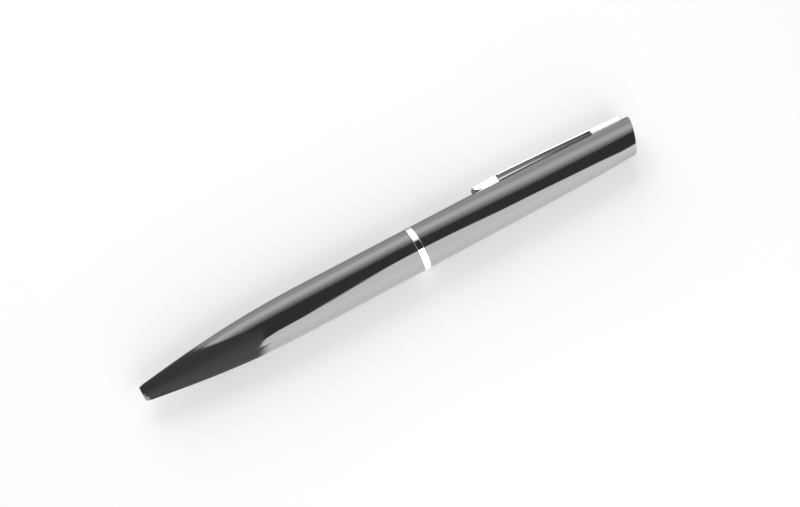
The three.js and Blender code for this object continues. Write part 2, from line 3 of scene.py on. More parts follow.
import bpy
import numpy as np
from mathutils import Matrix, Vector


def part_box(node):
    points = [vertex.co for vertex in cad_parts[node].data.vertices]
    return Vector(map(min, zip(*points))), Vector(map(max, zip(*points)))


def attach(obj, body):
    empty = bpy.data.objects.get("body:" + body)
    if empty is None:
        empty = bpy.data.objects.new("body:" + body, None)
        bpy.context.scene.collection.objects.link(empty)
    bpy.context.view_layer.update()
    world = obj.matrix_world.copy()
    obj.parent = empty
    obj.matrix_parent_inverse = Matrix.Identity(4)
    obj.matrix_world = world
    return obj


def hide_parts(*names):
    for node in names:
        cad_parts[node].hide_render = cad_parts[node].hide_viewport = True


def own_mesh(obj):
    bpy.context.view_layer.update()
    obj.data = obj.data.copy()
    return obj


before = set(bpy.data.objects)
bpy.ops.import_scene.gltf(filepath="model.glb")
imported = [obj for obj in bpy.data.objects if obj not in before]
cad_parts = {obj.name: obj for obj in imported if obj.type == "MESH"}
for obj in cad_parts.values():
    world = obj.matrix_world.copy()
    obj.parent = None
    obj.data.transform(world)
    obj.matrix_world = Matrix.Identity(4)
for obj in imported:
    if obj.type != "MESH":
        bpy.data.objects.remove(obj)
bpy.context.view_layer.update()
print("frame loaded with", len(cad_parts), "nodes")

# Sizes are in millimetres: stations along the pen from the nose face, heights and radii from its axis.
# They become the frame's metres only where a mesh is filled.
millimetre = 0.001
barrelLow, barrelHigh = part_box("lower_barrel")
noseX = barrelLow.x
axisY = (barrelLow.y + barrelHigh.y) / 2
axisZ = (barrelLow.z + barrelHigh.z) / 2

# A smooth round this much smaller stays inside the facets of its solid
bodyFlat = math.cos(math.pi / 40)
innerFlat = math.cos(math.pi / 32)
smallFlat = math.cos(math.pi / 20)

waist = 5.7
splitStation = 74.5
upperStation = 76.2
upperMiddle = 136.6
upperCurve = [(waist, upperStation), (5.65, 100.36), (5.6, 119.69), (4.72, upperMiddle)]
topSlant = math.tan(math.radians(16.5))
slantLength = 11.0
topFace = upperMiddle - 0.07  # lower by what a finer round leans further than the solid's facets


# Curves and outlines

def bezier(points, steps):
    # Bezier curve: at t each control point counts with its binomial share, comb(n, k) t^k (1 - t)^(n - k)
    points = np.asarray(points, float)
    t = np.linspace(0, 1, steps + 1)[:, None]
    degree = len(points) - 1
    return sum(math.comb(degree, k) * t**k * (1 - t) ** (degree - k) * points[k] for k in range(degree + 1))


def smoothStep(value):
    # 3 v^2 - 2 v^3 between 0 and 1, level at both ends
    value = np.clip(value, 0, 1)
    return value * value * (3 - 2 * value)


def softened(outline, closed=True, steps=5):
    # Rows are (radius, station, softening). A corner becomes the quadratic curve between the points that
    # lie its softening away along both sides, and a holding point beyond each end keeps the flats flat.
    shareOfSide, holdReach, leastGap, wearReach = 0.3, 1.4, 1e-6, 0.3
    corner, size = outline[:, :2], outline[:, 2:3]
    back, ahead = np.roll(corner, 1, 0) - corner, np.roll(corner, -1, 0) - corner
    backLength, aheadLength = (np.linalg.norm(side, axis=1, keepdims=True) + 1e-12 for side in (back, ahead))
    reach = np.minimum(size, shareOfSide * np.minimum(backLength, aheadLength))
    back, ahead = back / backLength * reach, ahead / aheadLength * reach
    t = np.linspace(0, 1, steps + 1)[:, None, None]
    arc = (1 - t) ** 2 * (corner + back) + 2 * t * (1 - t) * corner + t**2 * (corner + ahead)
    path = np.concatenate([[corner + back * holdReach], arc, [corner + ahead * holdReach]])
    path = path.transpose(1, 0, 2)
    if not closed:
        path[0], path[-1] = corner[0], corner[-1]
    path = path.reshape(-1, 2)
    gap = np.linalg.norm(path - np.roll(path, 1, 0), axis=1)
    path = path[gap > leastGap] if closed else path[np.r_[True, gap[1:] > leastGap]]
    sharp = corner[(size[:, 0] > 0) & (corner[:, 0] > 0)]
    near = np.linalg.norm(path[:, None] - sharp[None], axis=2).min(1)
    return path, np.exp(-((near / wearReach) ** 2))  # how close each point is to an edge, for the wear


def smoothRun(points):
    # Curve points for an outline, with no softening of their own
    return np.c_[points, np.zeros(len(points))]


def straightRun(radius, stations):
    return smoothRun(np.c_[np.full(len(stations), radius), stations])


def turnedPath(blocks, flat, closed=True):
    return softened(np.concatenate(blocks) * [flat, 1, 1], closed)


def upperRadius(station):
    # Outside radius of the upper barrel at an unslanted station, read off its drawn curve
    curve = bezier(upperCurve, 200)
    return np.interp(station, curve[:, 1], curve[:, 0])


def leaned(station, height):
    # The last millimetres of the upper half lean towards the clip, in proportion to the height
    share = np.clip((station - upperMiddle + slantLength) / slantLength, 0, 1)
    return station + share * topSlant * height


def unleaned(station, height):
    # The unslanted station that comes to lie at this one
    rate = topSlant * height / slantLength
    inside = (station + rate * (upperMiddle - slantLength)) / (1 + rate)
    return np.where(inside > upperMiddle - slantLength, inside, station)


# Meshes

def newObject(name, data):
    piece = bpy.data.objects.new(name, data)
    bpy.context.scene.collection.objects.link(piece)
    return piece


def newPiece(name, points, faces, **marks):
    # Each mark is a number per point, which materials read by its name
    mesh = bpy.data.meshes.new(name)
    mesh.from_pydata(points.tolist(), [], faces)
    for mark, values in marks.items():
        layer = mesh.attributes.new(mark, "FLOAT", "POINT")
        layer.data.foreach_set("value", values.astype(np.float32).ravel())
    return newObject(name, mesh), mesh


def fillMesh(name, body, slot, points, faces, **marks):
    # Stations and heights turn into the frame's metres: X = nose + s, Y = axis + y, Z = axis + z
    placed = points * millimetre + np.array([noseX, axisY, axisZ])
    faces = [face for block in faces for face in block.tolist()]
    piece, mesh = newPiece(name + "_fine", placed, faces, **marks)
    mesh.shade_smooth()
    mesh.update()
    mesh.materials.append(materials[slot])
    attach(piece, body)
    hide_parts(name)
    return piece


def ringFaces(rows, sides, closed, flip):
    # Quads between neighbouring rows of a grid that runs round the axis
    i, j = np.meshgrid(np.arange(rows if closed else rows - 1), np.arange(sides), indexing="ij")
    row, nextRow, nextSide = i * sides, (i + 1) % rows * sides, (j + 1) % sides
    quads = np.stack([row + j, row + nextSide, nextRow + nextSide, nextRow + j], -1).reshape(-1, 4)
    return quads[:, ::-1] if flip else quads


def poledFaces(rows, sides, flip):
    # Quads of an open grid, and the fans that join its first and last row to the two points after it
    around = np.arange(sides)
    following = (around + 1) % sides
    top = (rows - 1) * sides
    first = np.stack([np.full(sides, rows * sides), following, around], -1)
    last = np.stack([np.full(sides, rows * sides + 1), top + around, top + following], -1)
    blocks = [ringFaces(rows, sides, False, False), first, last]
    return [block[:, ::-1] for block in blocks] if flip else blocks


def turnedPiece(path, sides, radiusAt=None, stationAt=None):
    # Surface of revolution: y = r cos(turn), z = r sin(turn). radiusAt may change r over (s, turn),
    # stationAt may change s over (s, y). A path that starts and ends on the axis closes in two poles.
    turn = np.arange(sides) * 2 * np.pi / sides
    radius = np.repeat(path[:, :1], sides, 1)
    station = np.repeat(path[:, 1:2], sides, 1)
    if radiusAt is not None:
        radius = radiusAt(radius, station, turn[None, :])
    y, z = radius * np.cos(turn), radius * np.sin(turn)
    if stationAt is not None:
        station = stationAt(station, y)
    grid = np.stack([station, y, z], -1)
    r, s = path.T
    flip = np.sum(s * np.roll(r, -1) - np.roll(s, -1) * r) > 0  # the sign of the outline's area
    if path[0, 0] > 0:
        return grid.reshape(-1, 3), [ringFaces(len(path), sides, True, flip)]
    points = np.concatenate([grid[1:-1].reshape(-1, 3), grid[0, :1], grid[-1, :1]])
    return points, poledFaces(len(path) - 2, sides, flip)


def turnedEdge(path, edge, sides):
    # The edge closeness of each mesh point of a turned piece
    if path[0, 0] == 0:
        return np.r_[np.repeat(edge[1:-1], sides), edge[0], edge[-1]]
    return np.repeat(edge, sides)


def addTurned(name, body, slot, flat, sides, blocks, closed=True, radiusAt=None, stationAt=None):
    path, edge = turnedPath(blocks, flat, closed)
    points, faces = turnedPiece(path, sides, radiusAt, stationAt)
    fillMesh(name, body, slot, points, faces, edge=turnedEdge(path, edge, sides))


# Materials

def addNode(tree, kind, inputs=None, **settings):
    node = tree.nodes.new("ShaderNode" + kind)
    for key, value in settings.items():
        setattr(node, key, value)
    for key, value in (inputs or {}).items():
        if isinstance(value, bpy.types.NodeSocket):
            tree.links.new(value, node.inputs[key])
        else:
            node.inputs[key].default_value = value
    return node


def addMath(tree, operation, *values, clamp=False):
    inputs = dict(enumerate(values))
    return addNode(tree, "Math", inputs, operation=operation, use_clamp=clamp).outputs[0]


def addNoise(tree, scale, detail, stretch=(1, 1, 1), distortion=0.0):
    # Noise over the object's coordinates in millimetres, stretched per axis
    where = addNode(tree, "TexCoord").outputs["Object"]
    place = addNode(tree, "Mapping", {"Vector": where, "Scale": [v / millimetre for v in stretch]})
    inputs = {"Vector": place.outputs["Vector"], "Scale": scale, "Detail": detail, "Distortion": distortion}
    return addNode(tree, "TexNoise", inputs).outputs["Fac"]


def readMark(tree, mark):
    return addNode(tree, "Attribute", attribute_name=mark).outputs["Fac"]


def makeEffect(name, output, build, **inputs):
    # A node group with one value as its result, built from its inputs
    group = bpy.data.node_groups.new(name, "ShaderNodeTree")
    for label, value in inputs.items():
        socket = group.interface.new_socket(name=label, in_out="INPUT", socket_type="NodeSocketFloat")
        socket.default_value = value
    group.interface.new_socket(name=output, in_out="OUTPUT", socket_type="NodeSocketFloat")
    given = group.nodes.new("NodeGroupInput").outputs
    group.links.new(build(group, given), group.nodes.new("NodeGroupOutput").inputs[output])
    return group


def orangePeel(group, given):
    # Soft waviness of a sprayed coat: broad noise and a weak fine one, both in waves per millimetre
    weak = addMath(group, "MULTIPLY", addNoise(group, given["Fine"], 2.0), 0.15)
    return addMath(group, "ADD", addNoise(group, given["Size"], 1.0), weak)


def dustSpecks(group, given):
    # Sparse specks: only the peaks of a fine noise pass the threshold
    above = addMath(group, "SUBTRACT", addNoise(group, given["Size"], 3.0), given["Sparse"])
    return addMath(group, "MULTIPLY", above, 14.0, clamp=True)


def turnedLines(group, given):
    # Lathe marks: noise squeezed along the axis and drawn out across it, so it reads as fine rings
    return addNoise(group, given["Lines"], 3.0, (1, 0.05, 0.05), given["Wander"])


def lengthBrushing(group, given):
    # Fine polishing lines along the pen: noise drawn out along X, with its strength left to the material
    return addNoise(group, given["Lines"], 4.0, (0.03, 1, 1))


def handlingSheen(group, given):
    # Broad uneven sheen left by fingers: slow noise, spread between the two values
    inputs = {"Value": addNoise(group, given["Size"], 4.0), "From Min": 0.35, "From Max": 0.68}
    inputs.update({"To Min": given["Low"], "To Max": given["High"]})
    return addNode(group, "MapRange", inputs, interpolation_type="SMOOTHSTEP").outputs["Result"]


def edgeWear(group, given):
    # Wear where the mesh says "edge", broken up by noise
    broken = addMath(group, "MULTIPLY", readMark(group, "edge"), addNoise(group, given["Size"], 3.0))
    return addMath(group, "MULTIPLY", broken, given["Amount"], clamp=True)


effects = {
    "orangePeel": makeEffect("orangePeel", "Height", orangePeel, Size=1.2, Fine=6.0),
    "dust": makeEffect("dustSpecks", "Mask", dustSpecks, Size=3.5, Sparse=0.72),
    "turnedLines": makeEffect("turnedLines", "Height", turnedLines, Lines=14.0, Wander=0.4),
    "brushing": makeEffect("lengthBrushing", "Height", lengthBrushing, Lines=9.0),
    "handling": makeEffect("handlingSheen", "Value", handlingSheen, Size=0.12, Low=0.0, High=1.0),
    "edgeWear": makeEffect("edgeWear", "Mask", edgeWear, Size=2.0, Amount=0.5),
}


def useEffect(tree, effect, **values):
    return addNode(tree, "Group", values, node_tree=effects[effect]).outputs[0]


def newMaterial(name, fixed):
    material = bpy.data.materials.new(name)
    material.use_nodes = True
    shader = material.node_tree.nodes["Principled BSDF"]
    for key, value in fixed.items():
        shader.inputs[key].default_value = value
    return material, material.node_tree, shader


def mixedColour(tree, factor, first, second):
    # The colour sockets of the Mix node are its seventh and eighth inputs and its third output
    first, second = ((*tone, 1) if isinstance(tone, tuple) else tone for tone in (first, second))
    return addNode(tree, "Mix", {0: factor, 6: first, 7: second}, data_type="RGBA").outputs[2]


def spreadValue(tree, value, low, high):
    spread = addNode(tree, "MapRange", {"Value": value, "To Min": low, "To Max": high})
    return spread.outputs["Result"]


def addBump(tree, shader, height, relief):
    # relief is in millimetres
    bump = addNode(tree, "Bump", {"Height": height, "Distance": relief * millimetre})
    tree.links.new(bump.outputs["Normal"], shader.inputs["Normal"])


lacquerLook = {
    "coat": {"IOR": 1.5, "Coat Weight": 1.0, "Coat Roughness": 0.03, "Coat IOR": 1.6},
    "black": (0.032, 0.032, 0.0325),
    "worn": (0.05, 0.05, 0.052),
    "specks": (0.042, 0.042, 0.043),
    "smooth": 0.045,
    "dull": 0.085,
    "peel": 0.0012,
}


def makeLacquer(look):
    material, tree, shader = newMaterial("blackLacquer", look["coat"])
    dust = useEffect(tree, "dust", Size=2.6, Sparse=0.74)
    wear = useEffect(tree, "edgeWear", Size=1.8, Amount=0.5)
    tinted = mixedColour(tree, dust, look["black"], look["specks"])
    tree.links.new(mixedColour(tree, wear, tinted, look["worn"]), shader.inputs["Base Color"])
    sheen = useEffect(tree, "handling", Size=0.1, Low=look["smooth"], High=look["dull"])
    tree.links.new(sheen, shader.inputs["Roughness"])
    addBump(tree, shader, useEffect(tree, "orangePeel", Size=0.9, Fine=5.0), look["peel"])
    return material


chromeLook = {
    "bright": (0.83, 0.84, 0.85),
    "shade": (0.74, 0.75, 0.765),
    # Dark tone for the painted shade on the clip's inner edges by the barrel
    "bare": (0.23, 0.23, 0.235),
    "smooth": 0.05,
    "dull": 0.11,
    "satin": 0.42,
    "lines": 0.0004,
}


def makeChrome(look):
    # The clip's inner edges by the barrel get a dark tone, a painted shade of the gap between clip and
    # barrel, and its unpolished barrel side is satin
    material, tree, shader = newMaterial("polishedChrome", {"Metallic": 1.0})
    cloud = useEffect(tree, "handling", Size=0.25, Low=0.0, High=1.0)
    plated = mixedColour(tree, cloud, look["bright"], look["shade"])
    tone = mixedColour(tree, readMark(tree, "bare"), plated, look["bare"])
    tree.links.new(tone, shader.inputs["Base Color"])
    sheen = useEffect(tree, "handling", Size=0.45, Low=look["smooth"], High=look["dull"])
    finish = addMath(tree, "MULTIPLY_ADD", readMark(tree, "satin"), look["satin"], sheen)
    tree.links.new(finish, shader.inputs["Roughness"])
    addBump(tree, shader, useEffect(tree, "brushing", Lines=8.0), look["lines"])
    return material


def makeTurnedMetal(name, bright, shade, smooth, dull, lines, relief):
    # Bare metal off the lathe: fine rings in the relief and the sheen, and a tarnish that clouds the tone
    material, tree, shader = newMaterial(name, {"Metallic": 1.0})
    rings = useEffect(tree, "turnedLines", Lines=lines, Wander=0.3)
    tarnish = useEffect(tree, "handling", Size=0.35, Low=0.0, High=1.0)
    tree.links.new(mixedColour(tree, tarnish, bright, shade), shader.inputs["Base Color"])
    tree.links.new(spreadValue(tree, rings, smooth, dull), shader.inputs["Roughness"])
    addBump(tree, shader, rings, relief)
    return material


def makeMoulded(name, colour, shade, smooth, dull, grain, size):
    # Moulded plastic or rubber: a fine grain, and a colour that drifts a little
    material, tree, shader = newMaterial(name, {"IOR": 1.5})
    drift = useEffect(tree, "handling", Size=0.4, Low=0.0, High=1.0)
    tree.links.new(mixedColour(tree, drift, colour, shade), shader.inputs["Base Color"])
    skin = useEffect(tree, "orangePeel", Size=size, Fine=3 * size)
    tree.links.new(spreadValue(tree, skin, smooth, dull), shader.inputs["Roughness"])
    addBump(tree, shader, skin, grain)
    return material


# Two tones, the least and the most roughness, lines per millimetre and the relief
turnedMetals = {
    "turned_brass": ("turnedBrass", (0.72, 0.5, 0.2), (0.55, 0.37, 0.15), 0.16, 0.4, 16, 0.003),
    "spring_steel": ("springSteel", (0.5, 0.51, 0.53), (0.38, 0.385, 0.4), 0.2, 0.38, 10, 0.001),
    "nickel_silver": ("nickelTube", (0.6, 0.59, 0.56), (0.5, 0.49, 0.46), 0.14, 0.3, 9, 0.001),
}

# Two tones, the least and the most roughness, the relief and grains per millimetre
mouldings = {
    "white_nylon": ("whiteNylon", (0.72, 0.71, 0.68), (0.62, 0.61, 0.58), 0.35, 0.6, 0.004, 5),
    "black_plastic": ("blackPlastic", (0.016, 0.016, 0.017), (0.024, 0.024, 0.025), 0.22, 0.5, 0.003, 6),
    "friction_rubber": ("frictionRubber", (0.02, 0.02, 0.02), (0.032, 0.031, 0.03), 0.6, 0.95, 0.006, 7),
    "ink": ("blueInk", (0.006, 0.012, 0.07), (0.008, 0.016, 0.1), 0.1, 0.3, 0.001, 2),
}

materials = {
    "black_lacquer": makeLacquer(lacquerLook),
    "chrome_trim": makeChrome(chromeLook),
    **{slot: makeTurnedMetal(*look) for slot, look in turnedMetals.items()},
    **{slot: makeMoulded(*look) for slot, look in mouldings.items()},
}
print("materials made:", len(materials))


# Lower barrel: a rounded lip, a long ogive, a body that is almost parallel, and the stepped bore

lowerBarrel = {
    "faceEdge": 0.2,
    "lip": [(1.83, 0.0), (2.02, 0.6), (2.17, 1.2)],
    "ogive": [(2.17, 1.2), (4.0, 14.0), (5.8, 26.6), (5.8, 45.0)],
    "mouthChamfer": 0.05,
    "seat": (4.95, 62.45),
    "bore": 4.8,
    "wall": 0.9,
    "springBore": (2.3, 7.0, 16.0),
    "noseBore": (1.75, 3.65),
    "tipHole": (1.3, 3.2),
    "sides": 144,
}


def buildLowerBarrel(sizes):
    chamfer, seat, bore = sizes["mouthChamfer"], sizes["seat"], sizes["bore"]
    lip, ogive = bezier(sizes["lip"], 8), bezier(sizes["ogive"], 60)
    straight = np.linspace(sizes["ogive"][3], (waist, splitStation - chamfer), 14)
    springRadius, springSeat, springEnd = sizes["springBore"]
    noseBore, tipHole = sizes["noseBore"], sizes["tipHole"]
    inside = ogive[(ogive[:, 1] > springEnd) & (ogive[:, 0] - sizes["wall"] < bore)][::-3]
    outline = [
        [(tipHole[0], 0.0, 0.1), (*sizes["lip"][0], sizes["faceEdge"])],
        smoothRun(np.concatenate([lip[1:], ogive[1:], straight[1:-1]])),
        [(*straight[-1], 0.02), (waist - chamfer, splitStation, 0.02), (seat[0], splitStation, 0.08)],
        [(*seat, 0.03), (bore, seat[1], 0.03), (bore, sizes["ogive"][3][1], 0.0)],
        smoothRun(inside - [sizes["wall"], 0]),
        [(springRadius, springEnd, 0.05), (springRadius, springSeat, 0.05)],
        [(noseBore[0], springSeat, 0.05), (*noseBore, 0.05), (*tipHole, 0.05)],
    ]
    addTurned("lower_barrel", "lower_half", "black_lacquer", bodyFlat, sizes["sides"], outline)


buildLowerBarrel(lowerBarrel)
print("lower barrel built")


# The screw thread of the coupling and of the insert that it turns in

thread = {
    "pitch": 0.75,
    "depth": 0.42,
    "crest": 3.91,
    "start": 63.75,
    "end": 73.2,
    "fade": 0.9,
    "steepness": 1.9,
    "cutOff": 0.45,
    "rows": 130,
}


def threadCut(station, turn):
    # How far the thread lies below its crest: a trapezoid wave of s / pitch - turn / one round,
    # steeper than a triangle and cut off above and below, which fades out at both ends
    phase = (station - thread["start"]) / thread["pitch"] - turn / (2 * np.pi)
    wave = (1 - np.abs(2 * (phase % 1) - 1)) * thread["steepness"] - thread["cutOff"]
    run = smoothStep((station - thread["start"]) / thread["fade"])
    stop = smoothStep((thread["end"] - station) / thread["fade"])
    return thread["depth"] * (1 - np.clip(wave, 0, 1)) * run * stop


coupling = {
    "bore": 3.01,
    "front": 63.55,
    "frontChamfer": 0.2,
    "seatStart": 73.6,
    "ringSeat": 4.55,
    "flange": (4.95, 76.1, 77.7),
    "journal": 4.34,
    "groove": (3.99, 89.85, 91.45),
    "end": 97.45,
    "guideSeat": 2.94,
    "stop": (2.39, 84.4, 82.4, 81.85),
    "sides": 112,
}


def buildCoupling(sizes):
    crest, front, seatStart, ringSeat = thread["crest"], sizes["front"], sizes["seatStart"], sizes["ringSeat"]
    bore, journal, guideSeat, end = sizes["bore"], sizes["journal"], sizes["guideSeat"], sizes["end"]
    flange, flangeStart, flangeEnd = sizes["flange"]
    groove, grooveStart, grooveEnd = sizes["groove"]
    stop, stopBack, stopFront, boreEnd = sizes["stop"]
    outline = [
        [(bore, front, 0.05), (crest - sizes["frontChamfer"], front, 0.04)],
        straightRun(crest, np.linspace(thread["start"], seatStart - 0.1, thread["rows"])),
        [(crest, seatStart, 0.03), (ringSeat, seatStart, 0.05), (ringSeat, flangeStart, 0.03)],
        [(flange, flangeStart, 0.06), (flange, flangeEnd, 0.06), (journal, flangeEnd, 0.03)],
        [(journal, grooveStart, 0.05), (groove, grooveStart, 0.04), (groove, grooveEnd, 0.04)],
        [(journal, grooveEnd, 0.05), (journal, end, 0.12), (guideSeat, end, 0.08)],
        [(guideSeat, stopBack, 0.04), (stop, stopBack, 0.04), (stop, stopFront, 0.04), (bore, boreEnd, 0.04)],
    ]

    def threadedRadius(radius, station, turn):
        onCrest = np.abs(radius - crest * innerFlat) < 0.1 * innerFlat
        inRange = (station > thread["start"]) & (station < seatStart - 0.05)
        return np.where(onCrest & inRange, radius - threadCut(station, turn), radius)

    place = ("coupling", "mechanism", "turned_brass")
    addTurned(*place, innerFlat, sizes["sides"], outline, radiusAt=threadedRadius)


threadInsert = {"outer": 4.91, "start": 62.5, "end": 73.5, "bore": 4.01, "chamfer": 0.2, "sides": 112}


def buildThreadInsert(sizes):
    outer, bore, start, end = sizes["outer"], sizes["bore"], sizes["start"], sizes["end"]
    mouth = bore + sizes["chamfer"]
    outline = [
        [(mouth, start, 0.05), (outer, start, 0.08), (outer, end, 0.08), (mouth, end, 0.05)],
        straightRun(bore, np.linspace(end - sizes["chamfer"], start + sizes["chamfer"], thread["rows"])),
    ]

    def threadedRadius(radius, station, turn):
        outside = radius > (bore + 0.05) * innerFlat
        return np.where(outside, radius, radius - threadCut(station, turn))

    place = ("thread_insert", "lower_half", "turned_brass")
    addTurned(*place, innerFlat, sizes["sides"], outline, radiusAt=threadedRadius)


buildCoupling(coupling)
buildThreadInsert(threadInsert)
print("coupling and threaded insert built")


# Centre ring, and the plain turned pieces of the mechanism

centreRing = {"inner": 4.59, "outer": 5.76, "start": 74.52, "end": 76.17, "chamfer": 0.06, "sides": 160}


def buildCentreRing(sizes):
    inner, outer, start, end = sizes["inner"], sizes["outer"], sizes["start"], sizes["end"]
    shoulder = outer - sizes["chamfer"]
    crown = np.linspace(start + sizes["chamfer"], end - sizes["chamfer"], 7)
    outline = [
        [(inner, start, 0.04), (shoulder, start, 0.04), (outer, crown[0], 0.03)],
        straightRun(outer, crown[1:-1]),
        [(outer, crown[-1], 0.03), (shoulder, end, 0.04), (inner, end, 0.04)],
    ]
    addTurned("centre_ring", "mechanism", "chrome_trim", bodyFlat, sizes["sides"], outline)


buildCentreRing(centreRing)

sleeveSides = 96

# Bore, outer radius, front, back, softening of the bore's and of the outer edges, and rows between them
sleeves = {
    "slip_washer": (4.38, 4.85, 77.75, 78.05, 0.05, 0.05, 8, "mechanism", "white_nylon"),
    "thrust_washer": (2.94, 4.19, 114.75, 115.25, 0.06, 0.06, 8, "mechanism", "spring_steel"),
    "mechanism_shell": (4.44, 4.86, 78.1, 116.55, 0.1, 0.1, 8, "upper_half", "turned_brass"),
    "friction_ring": (4.03, 4.37, 89.95, 91.35, 0.04, 0.16, 0, "mechanism", "friction_rubber"),
}


def buildSleeve(name, inner, outer, start, end, boreSoft, outerSoft, rows, body, slot):
    outline = [
        [(inner, start, boreSoft), (outer, start, outerSoft)],
        straightRun(outer, np.linspace(start, end, rows + 2)[1:-1]),
        [(outer, end, outerSoft), (inner, end, boreSoft)],
    ]
    addTurned(name, body, slot, innerFlat, sleeveSides, outline)


for sleeveName, sleeveSizes in sleeves.items():
    buildSleeve(sleeveName, *sleeveSizes)
print("centre ring and washers built")


# Refill: the tube with its two crimped ears, the writing point and its ball

refillTube = {
    "inner": 1.28,
    "outer": 1.5,
    "start": 9.0,
    "end": 108.8,
    "earStart": 27.2,
    "earLength": 1.4,
    "earReach": 0.5,
    "earHalf": 0.3,
    "earRamps": (0.12, 0.3),
    "sides": 112,
}


def buildRefillTube(sizes):
    inner, outer, start, end = sizes["inner"], sizes["outer"], sizes["start"], sizes["end"]
    earStart, earEnd = sizes["earStart"], sizes["earStart"] + sizes["earLength"]
    frontRamp, backRamp = sizes["earRamps"]
    rows = np.r_[
        np.linspace(start + 0.3, earStart - 0.1, 14),
        np.linspace(earStart - 0.05, earEnd + 0.05, 29),
        np.linspace(earEnd + 0.1, end - 0.3, 40),
    ]
    outline = [
        [(inner, start, 0.04), (outer, start, 0.06)],
        straightRun(outer, rows),
        [(outer, end, 0.06), (inner, end, 0.04)],
    ]

    def earedRadius(radius, station, turn):
        # Two pinched humps at turn 0 and half a round, square in length and narrow round the tube
        away = np.abs((turn + np.pi / 2) % np.pi - np.pi / 2) * outer / sizes["earHalf"]
        along = smoothStep((station - earStart) / frontRamp) * smoothStep((earEnd - station) / backRamp)
        hump = sizes["earReach"] * along * np.exp(-(away**4))
        return np.where(radius > (inner + outer) / 2, radius + hump, radius)

    place = ("refill_tube", "refill", "nickel_silver")
    addTurned(*place, smallFlat, sizes["sides"], outline, radiusAt=earedRadius)


refillTip = {
    "mouth": (0.45, 2.25),
    "lipWall": 0.1,
    "stem": (1.15, 5.25, 8.95),
    "collar": (1.38, 9.0),
    "tail": (1.24, 12.5),
    "channel": 0.35,
    "cup": (0.54, 2.5, 3.04),
    "sides": 72,
}


def buildRefillTip(sizes):
    mouth, front = sizes["mouth"]
    lip = mouth + sizes["lipWall"]
    stem, stemStart, stemEnd = sizes["stem"]
    collar, collarEnd = sizes["collar"]
    tail, tailEnd = sizes["tail"]
    cup, cupFront, cupEnd = sizes["cup"]
    outline = [
        [(mouth, front, 0.01), (lip, front, 0.03), (lip + 0.12, front + 0.45, 0.08)],
        [(stem - 0.12, stemStart - 0.35, 0.06), (stem, stemStart - 0.2, 0.06), (stem, stemStart + 1.1, 0.04)],
        [(stem - 0.1, stemStart + 1.2, 0.03), (stem - 0.1, stemStart + 1.5, 0.03)],
        [(stem, stemStart + 1.6, 0.04), (stem, stemEnd, 0.04), (collar, stemEnd, 0.02)],
        [(tail, collarEnd, 0.02), (tail, tailEnd, 0.06), (sizes["channel"], tailEnd, 0.04)],
        [(sizes["channel"], cupEnd + 0.08, 0.02), (cup, cupEnd, 0.03), (cup, cupFront, 0.02)],
    ]
    addTurned("refill_tip", "refill", "turned_brass", smallFlat, sizes["sides"], outline)


refillBall = {"radius": 0.49, "station": 2.5, "steps": 28, "sides": 48}


def buildRefillBall(sizes):
    # Circle swung round the axis, closed in two poles
    angle = np.linspace(0, np.pi, sizes["steps"] + 1)
    path = np.c_[np.sin(angle), -np.cos(angle)] * sizes["radius"] + [0, sizes["station"]]
    path[0, 0] = path[-1, 0] = 0
    fillMesh("refill_ball", "refill", "spring_steel", *turnedPiece(path, sizes["sides"]))


buildRefillTube(refillTube)
buildRefillTip(refillTip)
buildRefillBall(refillBall)
print("refill built")


# Return spring: round wire on a helix whose end turns lie closer, with short straight ends

returnSpring = {
    "radius": 1.85,
    "wire": 0.19,
    "turns": 11,
    "closeTurns": 1,
    "closePitch": 0.9,
    "start": 7.25,
    "end": 26.95,
    "seat": 7.05,
    "tail": 0.4,
    "poleRise": 0.05,
    "stepsPerTurn": 40,
    "wireSides": 14,
    "keep": 0.752,
}


def buildReturnSpring(sizes):
    # Centre line: s grows with the turns at the close or the open pitch, y = R cos(a), z = -R sin(a)
    turns, close = sizes["turns"], sizes["closeTurns"]
    turn = np.linspace(0, turns, turns * sizes["stepsPerTurn"] + 1)
    near = np.minimum(turn, close) + np.maximum(turn - turns + close, 0)
    openLength = sizes["end"] - sizes["start"] - 2 * close * sizes["closePitch"]
    openPitch = openLength / (turns - 2 * close)
    station = sizes["start"] + near * sizes["closePitch"] + (turn - near) * openPitch
    angle = 2 * np.pi * turn
    line = np.stack([station, sizes["radius"] * np.cos(angle), -sizes["radius"] * np.sin(angle)], 1)
    tail = np.linspace(1, 0.1, 6)[:, None] * np.array([[0, 0, sizes["tail"]]])
    line = np.concatenate([line[0] + tail, line, line[-1] - tail[::-1]])

    # Round section across the line: wire * (side cos + up sin)
    along = np.gradient(line, axis=0)
    along /= np.linalg.norm(along, axis=1, keepdims=True)
    side = np.cross(along, [1.0, 0, 0])
    side /= np.linalg.norm(side, axis=1, keepdims=True)
    up = np.cross(along, side)
    swing = (np.arange(sizes["wireSides"]) * 2 * np.pi / sizes["wireSides"])[None, :, None]
    grid = line[:, None] + (side[:, None] * np.cos(swing) + up[:, None] * np.sin(swing)) * sizes["wire"]
    poles = [line[0] - along[0] * sizes["poleRise"], line[-1] + along[-1] * sizes["poleRise"]]
    points = np.concatenate([grid.reshape(-1, 3), poles])
    faces = poledFaces(len(line), sizes["wireSides"], False)
    spring = fillMesh("return_spring", "mechanism", "spring_steel", points, faces)
    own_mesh(spring)


buildReturnSpring(returnSpring)
print("return spring built")


# Upper barrel: its drawn curve, the slanted top with a rounded edge, the bore and the clip's slot

upperBarrel = {
    "mouth": (5.05, 78.05),
    "chamfer": 0.05,
    "bore": (4.9, 116.6),
    "topBore": (3.97, 124.6),
    "topRadius": 4.72,
    "edgeRound": 0.14,
    "slot": (129.85, 133.0),
    "slotRows": 6,
    "slotColumns": 6,
    "slotMiddle": 4.1,
    "sides": 160,
}


